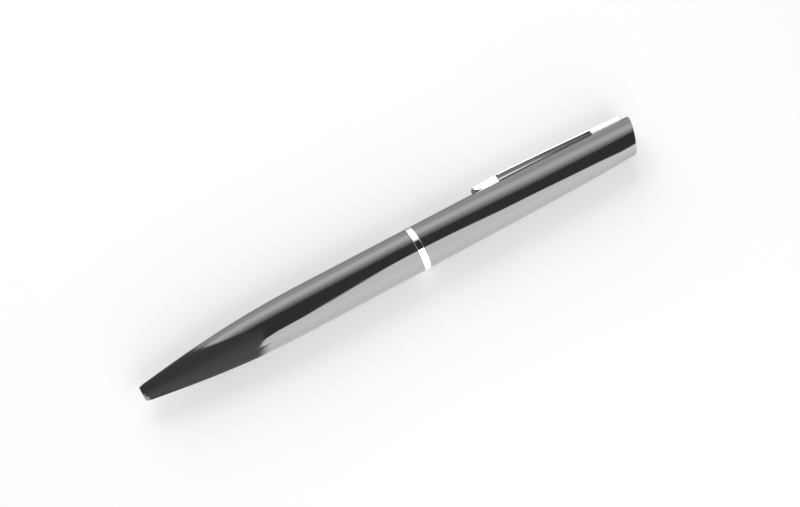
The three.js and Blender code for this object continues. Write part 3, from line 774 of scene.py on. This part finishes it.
def buildUpperBarrel(sizes):
    edge, sides, count, rowCount = (sizes[key] for key in ("edgeRound", "sides", "slotColumns", "slotRows"))
    topBore, mouth, chamfer = sizes["topBore"][0], sizes["mouth"], sizes["chamfer"]
    slotOuter = [float(unleaned(s, upperRadius(s))) for s in sizes["slot"]]
    slotInner = [float(unleaned(s, topBore)) for s in sizes["slot"]]
    stations = np.r_[
        np.linspace(upperStation + chamfer, slotOuter[0], 60)[:-1],
        np.linspace(*slotOuter, rowCount + 1),
        np.linspace(slotOuter[1], topFace - edge, 8)[1:-1],
    ]
    outside = np.c_[upperRadius(stations), stations]
    swing = np.linspace(0, np.pi / 2, 9)
    topEdge = np.c_[sizes["topRadius"] - edge + edge * np.cos(swing), topFace - edge + edge * np.sin(swing)]
    outline = [
        [(mouth[0], upperStation, 0.06), (waist - chamfer, upperStation, 0.02), (*outside[0], 0.02)],
        smoothRun(np.concatenate([outside[1:], topEdge])),
        [(topBore, topFace, 0.06)],
        straightRun(topBore, np.linspace(*slotInner[::-1], rowCount + 1)),
        [(*sizes["topBore"], 0.05), (*sizes["bore"], 0.05)],
        [(sizes["bore"][0], mouth[1], 0.03), (*mouth, 0.03)],
    ]
    path, edgeShare = turnedPath(outline, bodyFlat)
    points, faces = turnedPiece(path, sides, None, leaned)
    quads = faces[0]

    # Open the slot: drop its quads outside and inside, and join both openings with four walls
    def rowsBetween(front, back, onOutside):
        onSide = (path[:, 0] > sizes["slotMiddle"]) == onOutside
        first, last = (np.flatnonzero((np.abs(path[:, 1] - s) < 1e-6) & onSide)[0] for s in (front, back))
        return np.arange(first, last + 1)

    outerRows = rowsBetween(*slotOuter, True)
    innerRows = rowsBetween(*slotInner[::-1], False)[::-1]
    columns = np.arange(-count, count + 1) % sides
    startRow, startColumn = np.divmod(np.arange(len(quads)), sides)
    inColumns = (startColumn < count) | (startColumn >= sides - count)
    inRows = np.isin(startRow, outerRows[:-1]) | np.isin(startRow, innerRows[1:])
    kept = quads[~(inColumns & inRows)]
    a = outerRows[:, None] * sides + columns[None, :]
    b = innerRows[:, None] * sides + columns[None, :]
    rims = ((a[:, 0], b[:, 0]), (b[:, -1], a[:, -1]), (b[0], a[0]), (a[-1], b[-1]))
    walls = [np.stack([near[:-1], far[:-1], far[1:], near[1:]], -1) for near, far in rims]
    edge = turnedEdge(path, edgeShare, sides)
    fillMesh("upper_barrel", "upper_half", "black_lacquer", points, [kept, *walls], edge=edge)


endPlug = {"stem": (2.82, 121.4, 133.4), "head": 3.93, "chamfer": 0.12, "sides": 128}


def buildEndPlug(sizes):
    stem, stemStart, stemEnd = sizes["stem"]
    head, chamfer = sizes["head"], sizes["chamfer"]
    rings = np.linspace(head - 0.5, 0.4, 9)
    outline = [
        [(0.0, stemStart, 0.0), (stem, stemStart, 0.15), (stem, stemEnd, 0.04)],
        [(head, stemEnd, 0.06), (head, topFace - chamfer, 0.04), (head - chamfer, topFace, 0.05)],
        smoothRun(np.c_[rings, np.full(len(rings), topFace)]),
        [(0.0, topFace, 0.0)],
    ]
    place = ("end_plug", "upper_half", "black_plastic")
    addTurned(*place, bodyFlat, sizes["sides"], outline, closed=False, stationAt=leaned)


buildUpperBarrel(upperBarrel)
buildEndPlug(endPlug)
print("upper barrel and end plug built")


# Clip: a root saddled on the barrel, a thin sprung sheet, and a pad pressed into its round end

clip = {
    "end": 136.2,
    "tip": 94.4,
    "rootFront": 127.5,
    "padBack": 101.7,
    "padFront": 96.8,
    "crown": [(94.4, 1.22), (96.8, 1.3), (101.7, 1.42), (114.6, 1.16), (127.5, 0.9), (136.2, 0.78)],
    "padRise": 0.45,
    "padStep": 0.5,
    "tipUnder": 0.88,
    "tipCurve": 1.5,
    "tipCorner": 0.5,
    "hollowStep": 0.3,
    "sheet": 0.34,
    "padGap": 0.03,
    "saddleGap": 0.05,
    "saddleStep": (0.02, 0.16),
    "rootHalf": 2.1,
    "tipHalf": 1.8,
    "rootCorner": 0.7,
    "edgeRound": 0.2,
    "innerRound": 0.035,
    "roundShare": 0.9,
    "draft": 11.0,
    "leastHalf": 0.6,
    "endStep": 0.06,
    "endShare": 0.9,
    "flankHolds": (0.93, -0.96),
    "satinRamp": (0.55, 0.4),
    # Where the painted shade on the clip's inner edges rises, ends and falls off, by how much a column faces
    # the barrel
    "bareRamps": (0.3, 0.9, 0.1),
    "runs": [
        (95.2, 101.2, 22), (101.2, 101.8, 9), (101.8, 127.3, 44), (127.3, 127.75, 11), (127.8, 135.4, 16),
    ],
    "tongue": (132.2, 0.45, 0.8),
    "tongueRise": 0.45,
    "hook": (130.2, 3.17, 3.62),
}


def clipOutside(station):
    # Height of the clip's outer face: a spline through the drawn heights above the barrel
    knots = np.array(clip["crown"])
    heights = knots[:, 1] + upperRadius(knots[:, 0])
    padded = np.r_[2 * heights[0] - heights[1], heights, 2 * heights[-1] - heights[-2]]
    at = np.clip(np.searchsorted(knots[:, 0], station, side="right") - 1, 0, len(knots) - 2)
    t = (station - knots[at, 0]) / (knots[at + 1, 0] - knots[at, 0])
    p0, p1, p2, p3 = padded[at], padded[at + 1], padded[at + 2], padded[at + 3]
    return 0.5 * (
        2 * p1 + (p2 - p0) * t + (2 * p0 - 5 * p1 + 4 * p2 - p3) * t**2 + (3 * p1 - p0 - 3 * p2 + p3) * t**3
    )


def clipHalfWidth(station):
    # Straight taper with round corners at both ends
    front, back = clip["tipCorner"], clip["rootCorner"]
    taper = np.interp(station, [clip["tip"] + front, clip["end"]], [clip["tipHalf"], clip["rootHalf"]])
    inTip = np.clip(clip["tip"] + front - station, 0, front)
    inEnd = np.clip(station - clip["end"] + back, 0, back)
    return taper - (front - np.sqrt(front**2 - inTip**2)) - (back - np.sqrt(back**2 - inEnd**2))


def clipUnderside(station):
    # Flat underside of the sheet and of the pad, before the root's saddle
    floor = upperRadius(station) + clip["padGap"]
    sheet = clipOutside(station) - clip["sheet"]
    leadIn = np.clip((clip["padFront"] - station) / (clip["padFront"] - clip["tip"]), 0, 1)
    front = floor + (clip["tipUnder"] - clip["padGap"]) * leadIn ** clip["tipCurve"]
    step = smoothStep((station - clip["padBack"] + clip["padRise"]) / clip["padStep"])
    return np.where(station < clip["padFront"], front, floor * (1 - step) + sheet * step)


def buildClip(sizes):
    frontSwing, backSwing = np.linspace(0, np.pi / 2, 11), np.linspace(0, np.pi / 2, 9)
    tipRun = sizes["tip"] + sizes["tipCorner"] * (1 - np.cos(frontSwing))
    endRun = sizes["end"] - sizes["rootCorner"] * (1 - np.sin(backSwing))
    runs = [np.linspace(*run) for run in sizes["runs"]]
    stations = np.unique(np.concatenate([tipRun, *runs, endRun]).round(5))
    top, under, half = clipOutside(stations), clipUnderside(stations), clipHalfWidth(stations)

    # Section: flats across the top and bottom, joined by four quarter rounds. Each column counts as
    # a share of the width and height inside the rounds, plus a unit step of the rounding. Two columns
    # on each flank keep its shading flat between the rounds.
    quarter = np.linspace(0, np.pi / 2, 6)
    flat = np.linspace(-1, 1, 13)[1:-1]
    ones, zeros, still = np.ones(len(quarter)), np.zeros(len(flat)), np.ones(len(flat))
    hold, side, level = np.array(sizes["flankHolds"]), np.ones(2), np.zeros(2)
    swing, rise = np.cos(quarter), np.sin(quarter)
    across = np.r_[ones, flat[::-1], -ones, -side, -ones, flat, ones, side]
    acrossRound = np.r_[swing, zeros, -rise, -side, -swing, zeros, rise, side]
    upward = np.r_[ones, still, ones, hold, -ones, -still, -ones, hold[::-1]]
    upwardRound = np.r_[rise, still, swing, level, -rise, -still, -swing, level]
    middle, halfHeight = (top + under)[:, None] / 2, (top - under)[:, None] / 2
    edge = np.where(upward > 0, sizes["edgeRound"], sizes["innerRound"])[None, :]
    edge = np.minimum(edge, sizes["roundShare"] * np.minimum(half[:, None], halfHeight))
    lateral = across * (half[:, None] - edge) + acrossRound * edge
    height = middle + upward * (halfHeight - edge) + upwardRound * edge

    # The pad's underside is hollowed along the barrel: it drops by r - sqrt(r^2 - z^2)
    radius = upperRadius(stations)[:, None]
    drop = radius - np.sqrt(radius**2 - lateral**2)
    padShare = 1 - smoothStep((stations - sizes["padBack"] + sizes["padRise"]) / sizes["hollowStep"])
    height = height - np.where(upward < 0, drop, 0) * padShare[:, None]

    # The root reaches down to the barrel: its underside follows the round, x^2 + z^2 = r^2
    barrel = upperRadius(unleaned(stations, top)) + sizes["saddleGap"]
    saddle = np.sqrt(np.maximum(barrel[:, None] ** 2 - lateral**2, 0))
    stepStart, stepWidth = sizes["saddleStep"]
    share = smoothStep((stations - sizes["rootFront"] - stepStart) / stepWidth)[:, None]
    lower = np.clip(0.5 - 0.5 * (height - middle) / halfHeight, 0, 1)
    height = height + lower * share * (saddle - height) * (lower > 0.5)

    # Both sides lean in towards the outer face by the draft
    lift = height - height.min(1, keepdims=True)
    lean = math.tan(math.radians(sizes["draft"])) * lift / np.maximum(half, sizes["leastHalf"])[:, None]
    lateral = lateral * (1 - lean)

    # A slightly smaller section before the first and after the last softens both end faces
    centre = np.stack([height.mean(1), lateral.mean(1)], -1)[[0, -1], None]
    grid = np.stack([np.repeat(stations[:, None], lateral.shape[1], 1), height, lateral], -1)
    ends = grid[[0, -1]].copy()
    ends[:, :, 1:] = centre + (ends[:, :, 1:] - centre) * sizes["endShare"]
    grid[0, :, 0] += sizes["endStep"]
    grid[-1, :, 0] -= sizes["endStep"]
    grid = np.concatenate([ends[:1], grid, ends[1:]])
    rows, sides = grid.shape[:2]
    around = np.arange(sides)
    tipCap, endCap = around[None, :], ((rows - 1) * sides + around[::-1])[None, :]
    tongue, tongueFaces = clipTongue(sizes, rows * sides)

    # Marks for the material: satin on the whole barrel side, and a painted shade of the gap to the barrel on
    # its edges alone
    def wholeClip(columns, onTongue):
        return np.r_[np.tile(columns, rows), np.full(len(tongue), onTongue)]

    facing = np.maximum(-upward * np.abs(upwardRound), 0)
    satinStart, satinWidth = sizes["satinRamp"]
    bareRise, bareEnd, bareFall = sizes["bareRamps"]
    inward = smoothStep((facing - satinStart) / satinWidth)
    # A band on the inner rounding alone, darkened as painted shade where the clip meets the barrel
    gapShadeMask = smoothStep(facing / bareRise) * (1 - smoothStep((facing - bareEnd) / bareFall))
    fillMesh(
        "clip",
        "clip",
        "chrome_trim",
        np.concatenate([grid.reshape(-1, 3), tongue]),
        [ringFaces(rows, sides, False, True), tipCap, endCap, *tongueFaces],
        satin=wholeClip(inward, 1.0),
        bare=wholeClip(gapShadeMask, 0.0),
    )


def clipTongue(sizes, offset):
    # The tongue's outline seen from the side, an L with rounded corners, drawn across its width
    station, sheet, half = sizes["tongue"]
    hookFront, hookLow, hookHigh = sizes["hook"]
    topHeight = float(upperRadius(station)) + sizes["tongueRise"]
    outline = [
        (hookLow, hookFront, 0.1),
        (hookHigh, hookFront, 0.1),
        (hookHigh, station, 0.12),
        (topHeight, station, 0.05),
        (topHeight, station + sheet, 0.05),
        (hookLow, station + sheet, 0.3),
    ]
    path, _ = softened(np.array(outline))
    count = len(path)
    front, back = (np.c_[path[:, 1], path[:, 0], np.full(count, z)] for z in (-half, half))
    around = np.arange(count)
    following = (around + 1) % count
    walls = np.stack([around, count + around, count + following, following], -1)
    caps = [around[None, :], (count + around[::-1])[None, :]]
    return np.concatenate([front, back]), [block + offset for block in (walls, *caps)]


buildClip(clip)
print("clip built")


# Nodes that keep their solid form get their finish

plainNodes = {
    "guide_tube": "spring_steel",
    "snap_ring": "spring_steel",
    "cross_pin": "spring_steel",
    "follower": "white_nylon",
    "cam_sleeve": "black_plastic",
    "ink_column": "ink",
}

for nodeName, slotName in plainNodes.items():
    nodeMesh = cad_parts[nodeName].data
    nodeMesh.materials.clear()
    nodeMesh.materials.append(materials[slotName])
print("plain nodes finished")


# Studio: white floor and surroundings, two soft lamps, and a tent round the pen that only gloss can see

studio = {
    "floorColour": (0.86, 0.86, 0.86),
    "floorGlow": 0.3,
    "floorHalf": 3.0,
    "surround": 0.3,
    "softboxes": {"farSoftbox": (1, 54.0), "nearSoftbox": (-1, 56.0)},  # side, and degrees from straight up
    "boxDistance": 0.5,
    "boxSize": 0.5,
    "boxRadiance": 1.9,
}

# Angles are in degrees from straight up, and past 90 they run in over the floor. In a pair, the first
# number is where: an angle, or a place along the pen in metres. The second is how much.
tent = {
    "radius": 0.6,
    "runs": [
        (-1.6, -0.52, 9), (-0.52, -0.3, 34), (-0.3, -0.09, 36), (-0.09, -0.03, 120), (-0.03, 0.75, 88),
    ],
    "rise": 0.0004,
    "overhead": 0.03,
    "farShine": [
        (18, 0.03), (22, 0.09), (31, 0.95), (42, 1.85), (54, 3.1), (66, 3.6), (79, 2.7),
        (92, 1.55), (97, 1.4), (103, 0.9), (109, 0.6), (117, 0.45), (124, 0.38), (180, 0.3),
    ],
    "farTurn": [(0.1, 0), (0.18, 12), (0.27, 16)],
    "farFlank": [(0.09, 0), (0.15, 5), (0.2, 8), (0.27, 9)],
    "farStart": [
        (0, -0.07), (24, -0.08), (36, -0.106), (45, -0.119), (55, -0.1245), (64, -0.1265), (72, -0.1245),
        (80, -0.121), (85, -0.1165), (89, -0.1), (92, -0.07), (95, -0.0578), (98, -0.0566), (102, -0.0545),
        (108, -0.054), (120, -0.053),
    ],
    "nearShine": [
        (89, 5.0), (92, 4.6), (98, 4.2), (105, 3.5), (113, 2.4), (122, 1.4), (137, 0.7), (180, 0.3),
    ],
    "nearEdge": [
        (-0.07, 70), (-0.056, 58), (-0.035, 51), (-0.01, 49), (0.02, 48), (0.04, 43), (0.06, 34),
        (0.078, 26), (0.089, 24), (0.108, 25), (0.126, 30), (0.152, 40), (0.18, 45), (0.215, 54),
        (0.255, 64), (0.275, 74),
    ],
    "nearStart": [(90, -0.062), (92, -0.0385)],
    "noseNear": [(0, 0.12), (28, 0.24), (54, 0.35), (93, 0.4), (113, 0.26), (126, 0.19), (140, 0.12)],
    "noseFar": 0.12,
    "lipGlow": {
        "start": [
            (0, -0.45), (16, -0.445), (44, -0.44), (50, -0.432), (56, -0.42), (65, -0.405), (71, -0.393),
            (76, -0.38), (81, -0.37), (87, -0.345), (91.5, -0.15), (95.7, -0.0935), (98, -0.085),
            (102, -0.077), (105, -0.0752), (109, -0.0737), (112, -0.0727), (116, -0.0716),
            (120, -0.0704), (125, -0.0697), (128, -0.0696), (133, -0.0691), (140, -0.0686),
        ],
        "soft": [(91, 0.03), (97, 0.003), (102, 0.001)],
        "shine": [
            (0, 0.5), (10, 0.8), (30, 1.2), (44, 2.2), (60, 2.5), (79, 3.4), (90, 3.9), (100, 3.8),
            (117, 2.1), (130, 1.4), (180, 0.8),
        ],
    },
    "softEnd": [(88, 0.009), (93, 0.004)],
    "flankFade": (75, 45),  # the angle where it ends, and its width
    "edgeBlur": 2,
    "turns": 353,
    "reach": 176,
}


def litShare(tree):
    # 1 for camera, glossy and transmission rays, so that all three see the white surround
    path = addNode(tree, "LightPath").outputs
    seen = addMath(tree, "ADD", path["Is Camera Ray"], path["Is Glossy Ray"])
    return addMath(tree, "ADD", seen, path["Is Transmission Ray"], clamp=True)


def glowingMaterial(name, colour, roughness):
    # White emission and no gloss, for the two stage pieces that light the pen
    fixed = {"Roughness": roughness, "Specular IOR Level": 0.0}
    return newMaterial(name, {**fixed, "Base Color": (*colour, 1), "Emission Color": (1, 1, 1, 1)})


def buildFloor(settings):
    corners = settings["floorHalf"] * np.array([(-1, -1, 0), (1, -1, 0), (1, 1, 0), (-1, 1, 0)])
    floor, mesh = newPiece("floor", corners, [(0, 1, 2, 3)])
    material, tree, shader = glowingMaterial("paleFloor", settings["floorColour"], 0.9)
    glow = addMath(tree, "MULTIPLY", litShare(tree), settings["floorGlow"])
    tree.links.new(glow, shader.inputs["Emission Strength"])
    mesh.materials.append(material)


def buildWorld(settings):
    world = bpy.data.worlds.new("studio")
    bpy.context.scene.world = world
    world.use_nodes = True
    tree = world.node_tree
    tree.nodes.clear()

    def white(strength):
        return addNode(tree, "Background", {"Color": (1, 1, 1, 1), "Strength": strength}).outputs[0]

    shades = {0: litShare(tree), 1: white(settings["surround"]), 2: white(1.0)}
    mixed = addNode(tree, "MixShader", shades)
    addNode(tree, "OutputWorld", {"Surface": mixed.outputs[0]})


def buildSoftbox(name, side, degrees, settings):
    # A flat square panel that faces the pen from one side
    light = bpy.data.lights.new(name, "AREA")
    light.size = settings["boxSize"]
    light.energy = math.pi * light.size**2 * settings["boxRadiance"]
    piece = newObject(name, light)
    angle = math.radians(degrees)
    toLamp = Vector((0, side * math.sin(angle), math.cos(angle)))
    piece.location = toLamp * settings["boxDistance"] + Vector((0, 0, axisZ))
    piece.rotation_euler = (-toLamp).to_track_quat("-Z", "Y").to_euler()
    piece.visible_camera = False
    piece.visible_glossy = False


def readOff(pairs, where):
    pairs = np.array(pairs, float)
    return np.interp(where, pairs[:, 0], pairs[:, 1])


def tentShine(sizes, angle, along):
    # Positive angles are the near side. Each side is its own run of brightness, cut off towards the nose
    away = np.abs(angle)
    soft = readOff(sizes["softEnd"], away)
    farShare = smoothStep((along - readOff(sizes["farStart"], away)) / soft + 0.5)
    fadeEnd, fadeWidth = sizes["flankFade"]
    flank = readOff(sizes["farFlank"], along) * np.clip((fadeEnd - away) / fadeWidth, 0, 1)
    turned = np.minimum(away + readOff(sizes["farTurn"], along) + flank, 90)
    far = readOff(sizes["farShine"], np.where(away < 90, turned, away))
    far = sizes["noseFar"] * (1 - farShare) + far * farShare
    opened = smoothStep((away - readOff(sizes["nearEdge"], along)) / sizes["edgeBlur"] + 0.5)
    near = sizes["overhead"] * (1 - opened) + readOff(sizes["nearShine"], away) * opened
    nearShare = smoothStep((along - readOff(sizes["nearStart"], away)) / soft + 0.5)
    glow = sizes["lipGlow"]
    glowShare = smoothStep((readOff(glow["start"], away) - along) / readOff(glow["soft"], away) + 0.5)
    nose = readOff(sizes["noseNear"], away) * (1 - glowShare) + readOff(glow["shine"], away) * glowShare
    near = nose * (1 - nearShare) + near * nearShare
    return np.where(angle < 0, far, near)


def buildTent(sizes):
    # Half a tube over the pen, y = -R sin(angle), z = R cos(angle), then two strips on the floor
    along = np.unique(np.concatenate([np.linspace(*run) for run in sizes["runs"]]))[None, :]
    rows, columns = sizes["turns"], along.shape[1]
    angle = np.linspace(-sizes["reach"], sizes["reach"], rows)[:, None]
    angle, along = np.broadcast_arrays(angle, along)
    turn = np.radians(angle)
    floorReach = np.minimum(axisZ / np.maximum(-1 / np.tan(np.abs(turn) + 1e-9), 1e-3), sizes["radius"])
    low = np.abs(angle) > 90
    y = np.where(low, -np.sign(angle) * floorReach, -sizes["radius"] * np.sin(turn))
    z = np.where(low, sizes["rise"], axisZ + sizes["radius"] * np.cos(turn))
    i, j = np.meshgrid(np.arange(rows - 1), np.arange(columns - 1), indexing="ij")
    first = i * columns + j
    faces = np.stack([first, first + 1, first + columns + 1, first + columns], -1).reshape(-1, 4)
    points = np.stack([along, y, z], -1).reshape(-1, 3)
    piece, mesh = newPiece("glossTent", points, faces.tolist(), shine=tentShine(sizes, angle, along))
    material, tree, shader = glowingMaterial("glossTent", (0, 0, 0), 1.0)
    tree.links.new(readMark(tree, "shine"), shader.inputs["Emission Strength"])
    material.cycles.emission_sampling = "NONE"
    mesh.materials.append(material)
    piece.visible_camera = False
    piece.visible_diffuse = False
    piece.visible_transmission = False
    piece.visible_shadow = False


buildFloor(studio)
buildWorld(studio)
for boxName, boxPlace in studio["softboxes"].items():
    buildSoftbox(boxName, *boxPlace, studio)
buildTent(tent)

camera = {
    "azimuth": -28.92,
    "elevation": 73.27,
    "distance": 0.4755,
    "lens": 87.58,
    "sensor": 36,
    "clip": (0.01, 20),
    "target": (0.00195, 0, 0.0073),
}


def buildCamera(settings):
    turn, rise = math.radians(settings["azimuth"]), math.radians(settings["elevation"])
    back = Vector((math.sin(turn) * math.cos(rise), -math.cos(turn) * math.cos(rise), math.sin(rise)))
    data = bpy.data.cameras.new("camera")
    data.lens = settings["lens"]
    data.sensor_width = settings["sensor"]
    data.clip_start, data.clip_end = settings["clip"]
    piece = newObject("camera", data)
    piece.location = Vector(settings["target"]) + back * settings["distance"]
    piece.rotation_mode = "QUATERNION"
    piece.rotation_quaternion = (-back).to_track_quat("-Z", "Y")
    bpy.context.scene.camera = piece


buildCamera(camera)
bpy.context.scene.view_settings.view_transform = "Standard"
print("studio and camera ready")
